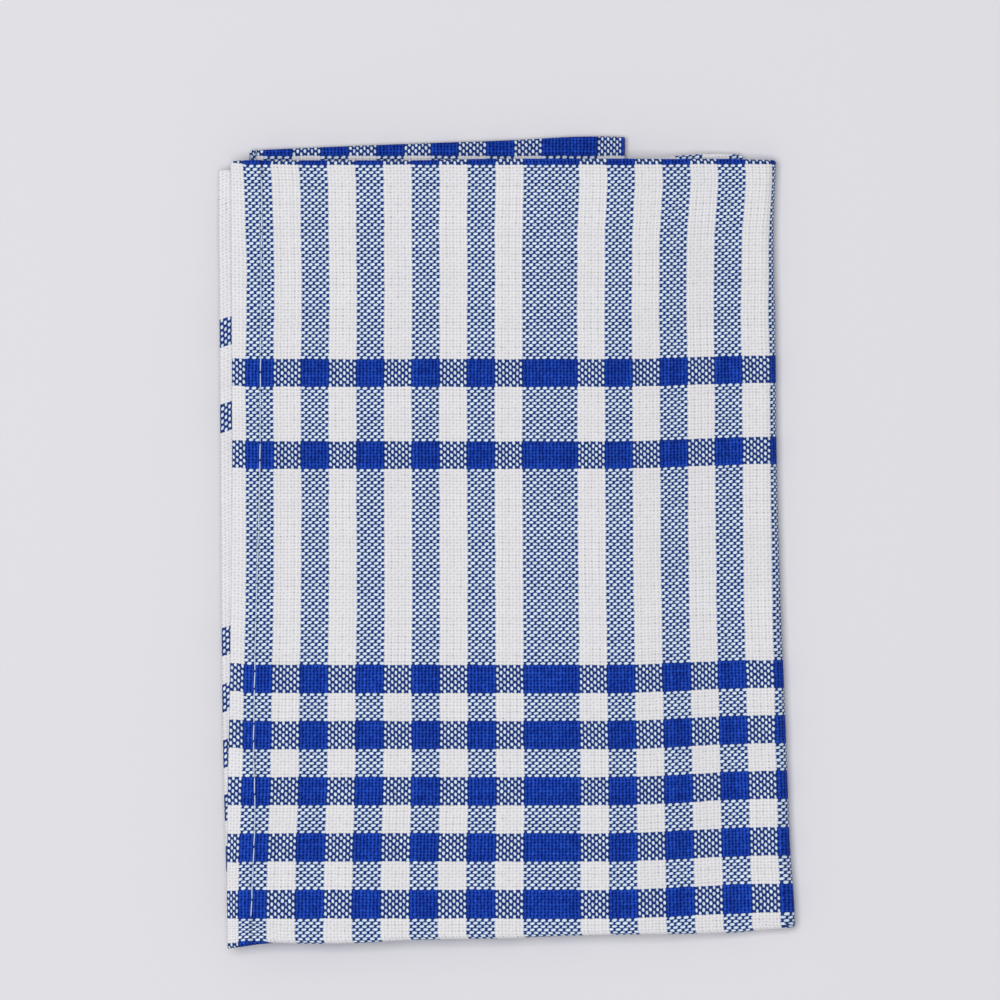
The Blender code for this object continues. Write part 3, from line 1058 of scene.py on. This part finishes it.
def cloth_material(cloth):
    """Plain weave of white and blue cotton, thread by thread, on the cloth's own map in metres."""
    material, tree, shader = new_material("checked_cotton", cloth.roughness, CLOTH_SHEEN)
    weave = Weave(tree, cloth)
    fibres = tree.noise(weave.place, FIBRE_WAVES, 2.0).outputs["Fac"]
    yarn, shade_between_threads = yarn_colour(tree, weave, cloth)
    # Painted shade between the threads: none on the crests, the shade tint down between them
    tone = tree.mix(crest_share(tree, weave), shade_between_threads, FULL)
    light = cloth_random_and_painted_shade(tree, weave, fibres)
    # Random darkening by thread, patch and fibre, with painted shade in the gaps and along the seams
    shade = tree.node("ShaderNodeCombineColor", dict.fromkeys(range(3), light)).outputs[0]
    tone = tree.mix(1.0, tone, shade, "MULTIPLY")
    tree.put(shader.inputs["Base Color"], tree.mix(1.0, yarn, tone, "MULTIPLY"))
    relief = tree.times(weave.height, tree.scaled(weave.any_blue, BLUE_RELIEF, WHITE_RELIEF))
    raised = tree.scaled(fibres, FIBRE_RELIEF, relief)
    tree.dented(shader, BUMP_STRENGTH, cloth.relief, raised)
    tree.spread()
    return material


def thread_material(stitches):
    """Smooth twisted sewing thread, with painted shade in the hollows of its twist, on the map that each
    stitch carries.
    """
    material, tree, shader = new_material("hem_thread", THREAD_ROUGHNESS, THREAD_SHEEN)
    axes = tree.parts(tree.node("ShaderNodeUVMap", uv_map="thread").outputs["UV"])
    turns = tree.add(tree.times(axes[0], TWIST_TURNS), axes[1])
    twist = tree.scaled(tree.math("SINE", tree.times(turns, 2.0 * np.pi)), 0.5, 0.5)
    # The thread's colour under painted shade, for the hollows of its twist
    dark = [TWIST_SHADE * part for part in stitches.thread_colour[:3]] + [1.0]
    tree.put(shader.inputs["Base Color"], tree.mix(twist, dark, stitches.thread_colour))
    tree.dented(shader, TWIST_STRENGTH, TWIST_DEPTH, twist)
    tree.spread()
    return material


# ---------------------------------------------------------------- woven sheet


def napkin_grid(cloth):
    """The folded sheet's grid, with its left and lower edges on the CAD cloth's."""
    grid = Grid(cloth)
    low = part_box("napkin_cloth")[0]
    least = np.concatenate((grid.outer, grid.inner)).min(axis=(0, 1))
    for points in (grid.outer, grid.inner):
        points[..., :2] += (low[0] - least[0], low[1] - least[1])
    return grid


def sheet_mesh(grid, cloth):
    """Vertices and faces of both sides as one closed skin, and each corner's place on its maps."""
    count, length = grid.outer.shape[:2]
    front = np.arange(count * length).reshape(count, length)
    inside = np.zeros((count, length), bool)
    inside[1:-1, 1:-1] = True
    back = front.copy()
    back[inside] = count * length + np.arange(inside.sum())
    verts = np.concatenate((grid.outer.reshape(-1, 3), grid.inner[inside]))
    seams = np.concatenate((grid.seams.ravel(), grid.seams[inside]))
    one, at = np.indices((count - 1, length - 1))
    faces, maps, bakes = [], [], []
    for ids, ring, shift in ((front, ((0, 0), (1, 0), (1, 1), (0, 1)), 0.0),
                             (back, ((0, 0), (0, 1), (1, 1), (1, 0)), cloth.end_pitch)):
        corners = [(one + step, at + along) for step, along in ring]
        faces.append(np.stack([ids[corner] for corner in corners], axis=-1))
        places = np.stack([grid.map[corner] for corner in corners], axis=2)
        maps.append(places + (shift, 0.0))
        bakes.append(bake_places(places, ids is front))
    faces, maps, bakes = (np.concatenate([side.reshape(-1, *side.shape[2:]) for side in sides])
                          for sides in (faces, maps, bakes))
    return verts, faces, {"cloth": maps, "OFBake": bakes}, seams


def bake_places(places, is_front):
    """Where each quad's corners lie on the bake's map, which has most room for the top face."""
    spots = np.empty_like(places)
    top = TOP_LEAF_STEPS + len(EDGE_LINES) + SIDE_BEND_STEPS - 1
    face = INNER_STEPS + len(EDGE_LINES) - 1
    under = face + TOP_BEND_STEPS + FACE_STEPS + BOTTOM_BEND_STEPS
    parts = (
        (slice(0, top), slice(face, under), TOP_FACE_ISLAND),
        (slice(top, None), slice(face, under), LOWER_FACES_ISLAND),
        (slice(None), slice(0, face), INNER_ISLAND),
        (slice(None), slice(under, None), UNDER_ISLAND),
    )
    if not is_front:
        parts = ((slice(None), slice(None), BACK_ISLAND),)
    for rows, cols, (left, low, right, high) in parts:
        block = places[rows, cols]
        least, most = block.min(axis=(0, 1, 2)), block.max(axis=(0, 1, 2))
        shares = (block - least) / (most - least)
        spots[rows, cols] = (left, low) + shares * (right - left, high - low)
    return spots


def linked(name, mesh):
    """An object for the mesh, in the scene."""
    piece = bpy.data.objects.new(name, mesh)
    bpy.context.scene.collection.objects.link(piece)
    return piece


def make_sheet(cloth):
    """The napkin's cloth, with its material and maps."""
    verts, faces, maps, seams = sheet_mesh(napkin_grid(cloth), cloth)
    mesh = bpy.data.meshes.new("woven_sheet")
    mesh.from_pydata(verts.tolist(), [], faces.tolist())
    for name, places in maps.items():
        mesh.uv_layers.new(name=name).data.foreach_set("uv", places.astype(np.float32).ravel())
    mesh.attributes.new("seam", "FLOAT", "POINT").data.foreach_set("value", seams)
    mesh.materials.append(cloth_material(cloth))
    mesh.shade_smooth()
    return linked("woven_sheet", mesh)


# ---------------------------------------------------------------- hem stitches


def seam_line(points, edges, seam):
    """Points on one side of the cloth at a distance from an edge, whose rows go inwards."""
    return np.stack([[np.interp(seam[at], edges[:, at], points[:, at, axis]) for axis in range(3)]
                     for at in range(points.shape[1])])


def seams(grid):
    """Each flat stretch of each seam on each side of the cloth: its points and the ways out of it."""
    top, inner = len(EDGE_LINES) + TOP_LEAF_STEPS, len(EDGE_LINES) + INNER_STEPS - 1
    bottom, under = len(EDGE_LINES) + BOTTOM_LEAF_STEPS - 1, len(EDGE_LINES) + UNDER_STEPS - 1
    middle, face = top + SIDE_BEND_STEPS - 1, inner + TOP_BEND_STEPS
    leaves = slice(0, top), slice(middle, middle + MIDDLE_LEAF_STEPS + 1), slice(-bottom, None)
    panels = slice(0, inner), slice(face, face + FACE_STEPS), slice(-under, None)
    stretches = [(slice(0, top), panel, 0) for panel in panels]
    stretches += [(slice(None, -bottom - 1, -1), panel, 0) for panel in panels]
    ends = slice(0, inner), slice(None, -under - 1, -1)
    stretches += [(leaf, end, 1) for leaf in leaves for end in ends]
    for rows, cols, edge in stretches:
        block = np.stack((grid.outer, grid.inner, grid.outer - grid.inner), axis=2)[rows, cols]
        edges = grid.edges[rows, cols, edge]
        if edge:
            block, edges = block.swapaxes(0, 1), edges.T
        at_left = rows == slice(0, top) and not edge
        wanted = grid.left_seam[cols] if at_left else np.full(len(edges[0]), PLAIN_SEAM)
        outer, under_side, away = (seam_line(block[:, :, at], edges, wanted) for at in range(3))
        away /= np.linalg.norm(away, axis=1, keepdims=True) + np.finfo(float).tiny
        yield outer, away
        yield under_side, -away


def seam_guide(grid):
    """All the seams as lines of edges, each point with its direction out of the cloth."""
    points, outward, edges = [], [], []
    for line, away in seams(grid):
        start = len(points)
        points.extend(line.tolist())
        outward.extend(away.ravel())
        edges.extend((start + at, start + at + 1) for at in range(len(line) - 1))
    mesh = bpy.data.meshes.new("seam_guide")
    mesh.from_pydata(points, edges, [])
    mesh.attributes.new("outward", "FLOAT_VECTOR", "POINT").data.foreach_set("vector", outward)
    return linked("seam_guide", mesh)


def stitch_tree():
    """Geometry Nodes that sew one stitch at each pitch along the guide's lines."""
    group = bpy.data.node_groups.new("hem_stitching", "GeometryNodeTree")
    for kind, *names in (("Geometry", "Seams"),
                         ("Float", "Stitch Length", "Stitch Pitch", "Thread Diameter", "Fold Margin", "Sway"),
                         ("Int", "Seed"), ("Material", "Thread")):
        for name in names:
            group.interface.new_socket(name, in_out="INPUT", socket_type="NodeSocket" + kind)
    group.interface.new_socket("Stitches", in_out="OUTPUT", socket_type="NodeSocketGeometry")
    tree = Tree(group)
    given = tree.node("NodeGroupInput").outputs
    seams_in = tree.node("GeometryNodeMeshToCurve", {"Mesh": given["Seams"]})
    whole = tree.node("GeometryNodeSplineLength").outputs["Length"]
    end = tree.less(whole, given["Fold Margin"])
    span = {0: seams_in.outputs[0], 4: given["Fold Margin"], 5: end}
    sewn_part = tree.node("GeometryNodeTrimCurve", span, mode="LENGTH")
    steps = {"Curve": sewn_part.outputs[0], "Length": given["Stitch Pitch"]}
    placed = tree.node("GeometryNodeResampleCurve", steps, mode="LENGTH")
    sewn = tree.node("GeometryNodeInstanceOnPoints", {
        "Points": placed.outputs[0],
        "Instance": one_stitch(tree, given),
        "Rotation": stitch_turn(tree, given),
    })
    real = tree.node("GeometryNodeRealizeInstances", {0: sewn.outputs[0]})
    smooth = tree.node("GeometryNodeSetShadeSmooth", {0: real.outputs[0]})
    dye = {"Geometry": smooth.outputs[0], "Material": given["Thread"]}
    dyed = tree.node("GeometryNodeSetMaterial", dye)
    tree.node("NodeGroupOutput", {0: dyed.outputs[0]})
    tree.spread()
    return group


def one_stitch(tree, given):
    """A short arc of thread whose ends dip into the cloth, with its own map."""
    half = tree.times(given["Stitch Length"], 0.5)
    dip, crest, radius = (tree.times(given["Thread Diameter"], share)
                          for share in (STITCH_END_DEPTH, STITCH_CREST, 0.5))
    start, middle, end = (tree.joined(x, 0.0, z)
                          for x, z in ((tree.times(half, -1.0), dip), (0.0, crest), (half, dip)))
    bend = {"Resolution": STITCH_STEPS, "Start": start, "Middle": middle, "End": end}
    arc = tree.node("GeometryNodeCurveQuadraticBezier", bend)
    along = self_parameter(tree, arc.outputs[0], "Length")
    ring = tree.node("GeometryNodeCurvePrimitiveCircle", {"Resolution": STITCH_SIDES, "Radius": radius})
    around = self_parameter(tree, ring.outputs[0], "Factor")
    swept = {"Curve": along[0], "Profile Curve": around[0], "Fill Caps": True}
    thread = tree.node("GeometryNodeCurveToMesh", swept)
    mapped = tree.node("GeometryNodeStoreNamedAttribute", data_type="FLOAT2", domain="CORNER")
    place = tree.joined(along[1], around[1])
    for name, value in (("Geometry", thread.outputs[0]), ("Name", "thread"), ("Value", place)):
        tree.put(mapped.inputs[name], value)
    return mapped.outputs[0]


def stitch_turn(tree, given):
    """The rotation that lays a stitch along its seam, out of the cloth, with a little sway."""
    tangent = tree.node("GeometryNodeInputTangent").outputs[0]
    outward = tree.node("GeometryNodeInputNamedAttribute", {"Name": "outward"}, data_type="FLOAT_VECTOR")
    facing = tree.node("FunctionNodeAlignRotationToVector", {"Vector": outward.outputs[0]}, axis="Z")
    aim = {"Rotation": facing.outputs[0], "Vector": tangent}
    lined = tree.node("FunctionNodeAlignRotationToVector", aim, axis="X", pivot_axis="Z")
    least = tree.times(given["Sway"], -1.0)
    limits = {"Min": least, "Max": given["Sway"], "Seed": given["Seed"]}
    chance = tree.node("FunctionNodeRandomValue", limits).outputs["Value"]
    sway = tree.node("FunctionNodeEulerToRotation", {0: tree.joined(0.0, 0.0, chance)})
    both = {"Rotation": lined.outputs[0], "Rotate By": sway.outputs[0]}
    return tree.node("FunctionNodeRotateRotation", both, rotation_space="LOCAL").outputs[0]


def self_parameter(tree, curve, name):
    """A curve and its own place along itself, kept as the curve becomes a mesh."""
    parameter = tree.node("GeometryNodeSplineParameter").outputs[name]
    kept = tree.node("GeometryNodeCaptureAttribute", domain="POINT")
    kept.capture_items.new("FLOAT", name)
    tree.put(kept.inputs["Geometry"], curve)
    tree.put(kept.inputs[name], parameter)
    return kept.outputs["Geometry"], kept.outputs[name]


def make_stitches(cloth, stitches):
    """The stitches of all four hems, on both sides of the cloth, as one plain mesh."""
    guide = seam_guide(napkin_grid(cloth))
    group = stitch_tree()
    modifier = guide.modifiers.new("Stitching", "NODES")
    modifier.node_group = group
    values = {
        "Stitch Length": stitches.stitch_length,
        "Stitch Pitch": stitches.stitch_pitch,
        "Thread Diameter": stitches.thread_diameter,
        "Fold Margin": stitches.fold_margin,
        "Sway": stitches.sway,
        "Seed": stitches.seed,
        "Thread": thread_material(stitches),
    }
    for socket in group.interface.items_tree:
        if socket.name in values:
            modifier[socket.identifier] = values[socket.name]
    bpy.context.view_layer.update()
    sewn = guide.evaluated_get(bpy.context.evaluated_depsgraph_get())
    mesh = bpy.data.meshes.new_from_object(sewn)
    mesh.name = "hem_stitches"
    if not mesh.polygons:
        raise RuntimeError("the hem stitches came out empty")
    for vertex in mesh.vertices:
        vertex.co.z = max(vertex.co.z, 0.0)
    bpy.data.objects.remove(guide, do_unlink=True)
    return linked("hem_stitches", mesh)


class NAPKIN_OT_cloth(bpy.types.Operator):
    """Make the folded sheet with its hems and its check"""

    bl_idname = "napkin.cloth"
    bl_label = "Woven Sheet"

    def execute(self, context):
        cloth = context.scene.napkin_cloth
        piece = make_sheet(cloth)
        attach(piece, "root")
        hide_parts("napkin_cloth")
        return {"FINISHED"}


class NAPKIN_OT_hem_stitches(bpy.types.Operator):
    """Sew the hems of the sheet, on both sides"""

    bl_idname = "napkin.hem_stitches"
    bl_label = "Hem Stitches"

    def execute(self, context):
        piece = make_stitches(context.scene.napkin_cloth, context.scene.napkin_stitches)
        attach(piece, "root")
        return {"FINISHED"}


class NAPKIN_OT_stage(bpy.types.Operator):
    """Make the pale table, the soft light and the camera"""

    bl_idname = "napkin.stage"
    bl_label = "Stage"

    def execute(self, context):
        stage = context.scene.napkin_stage
        make_floor(stage)
        make_lights(context.scene, stage)
        make_camera(context.scene, stage)
        return {"FINISHED"}


def make_floor(stage):
    """A large plain table top."""
    mesh = bpy.data.meshes.new("floor")
    corners = [(x * FLOOR_HALF, y * FLOOR_HALF, 0.0) for x, y in ((-1, -1), (1, -1), (1, 1), (-1, 1))]
    mesh.from_pydata(corners, [], [(0, 1, 2, 3)])
    material, tree, shader = new_material("pale_table", FLOOR_ROUGHNESS, 0.0)
    place = tree.node("ShaderNodeTexCoord").outputs["Object"]
    grain = tree.noise(place, FLOOR_WAVES, 2.0).outputs["Fac"]
    low = [FLOOR_SHADE * part for part in stage.floor_colour[:3]] + [1.0]
    tree.put(shader.inputs["Base Color"], tree.mix(grain, low, stage.floor_colour))
    mesh.materials.append(material)
    linked("floor", mesh)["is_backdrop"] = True


def make_lights(scene, stage):
    """One large soft light, over the napkin and to its left, and an even sky."""
    lamp = bpy.data.lights.new("key_light", "AREA")
    lamp.shape = "SQUARE"
    lamp.size = stage.key_width
    lamp.energy = stage.key_power
    key = bpy.data.objects.new("key_light", lamp)
    key.location = KEY_PLACE
    key.visible_camera = False
    key.rotation_euler = (-Vector(KEY_PLACE)).to_track_quat("-Z", "Y").to_euler()
    scene.collection.objects.link(key)
    world = bpy.data.worlds.new("studio")
    world.use_nodes = True
    background = world.node_tree.nodes["Background"]
    background.inputs["Color"].default_value = FULL
    background.inputs["Strength"].default_value = stage.sky_strength
    scene.world = world
    scene.view_settings.view_transform = "Standard"


def make_camera(scene, stage):
    """A long lens straight over the napkin."""
    data = bpy.data.cameras.new("camera")
    data.lens = data.sensor_width * stage.camera_height / stage.view_width
    data.clip_end = CAMERA_REACH
    camera = bpy.data.objects.new("camera", data)
    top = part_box("napkin_cloth")[1][2]
    camera.location = (CAMERA_X, CAMERA_Y, top + stage.camera_height)
    scene.collection.objects.link(camera)
    scene.camera = camera


class NAPKIN_PT_panel(bpy.types.Panel):
    """The napkin's operators and sizes"""

    bl_label = "Folded Napkin"
    bl_idname = "NAPKIN_PT_panel"
    bl_space_type = "VIEW_3D"
    bl_region_type = "UI"
    bl_category = "Napkin"

    def draw(self, context):
        for operator, settings in STEPS:
            box = self.layout.box()
            box.operator(operator.bl_idname)
            group = getattr(context.scene, settings)
            for name in group.__annotations__:
                box.prop(group, name)


SETTINGS = {
    "napkin_cloth": NapkinClothSettings,
    "napkin_stitches": NapkinStitchSettings,
    "napkin_stage": NapkinStageSettings,
}
STEPS = (
    (NAPKIN_OT_cloth, "napkin_cloth"),
    (NAPKIN_OT_hem_stitches, "napkin_stitches"),
    (NAPKIN_OT_stage, "napkin_stage"),
)
CLASSES = (*SETTINGS.values(), *(operator for operator, _ in STEPS), NAPKIN_PT_panel)


def register():
    """Register the classes and hang the settings on the scene."""
    for item in CLASSES:
        bpy.utils.register_class(item)
    for name, group in SETTINGS.items():
        setattr(bpy.types.Scene, name, bpy.props.PointerProperty(type=group))


def unregister():
    """Take the settings and the classes away again."""
    for name in SETTINGS:
        delattr(bpy.types.Scene, name)
    for item in reversed(CLASSES):
        bpy.utils.unregister_class(item)


def write_sizes():
    """Gather the CAD box and the finished model's box, and keep neither."""
    boxes = {"cad": CAD_BOX, "visual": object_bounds()}
    {name: [list(corner) for corner in box] for name, box in boxes.items()}


def main():
    """Register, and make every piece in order."""
    register()
    bpy.ops.napkin.cloth()
    bpy.ops.napkin.hem_stitches()
    bpy.ops.napkin.stage()
    write_sizes()


if __name__ == "__main__":
    main()
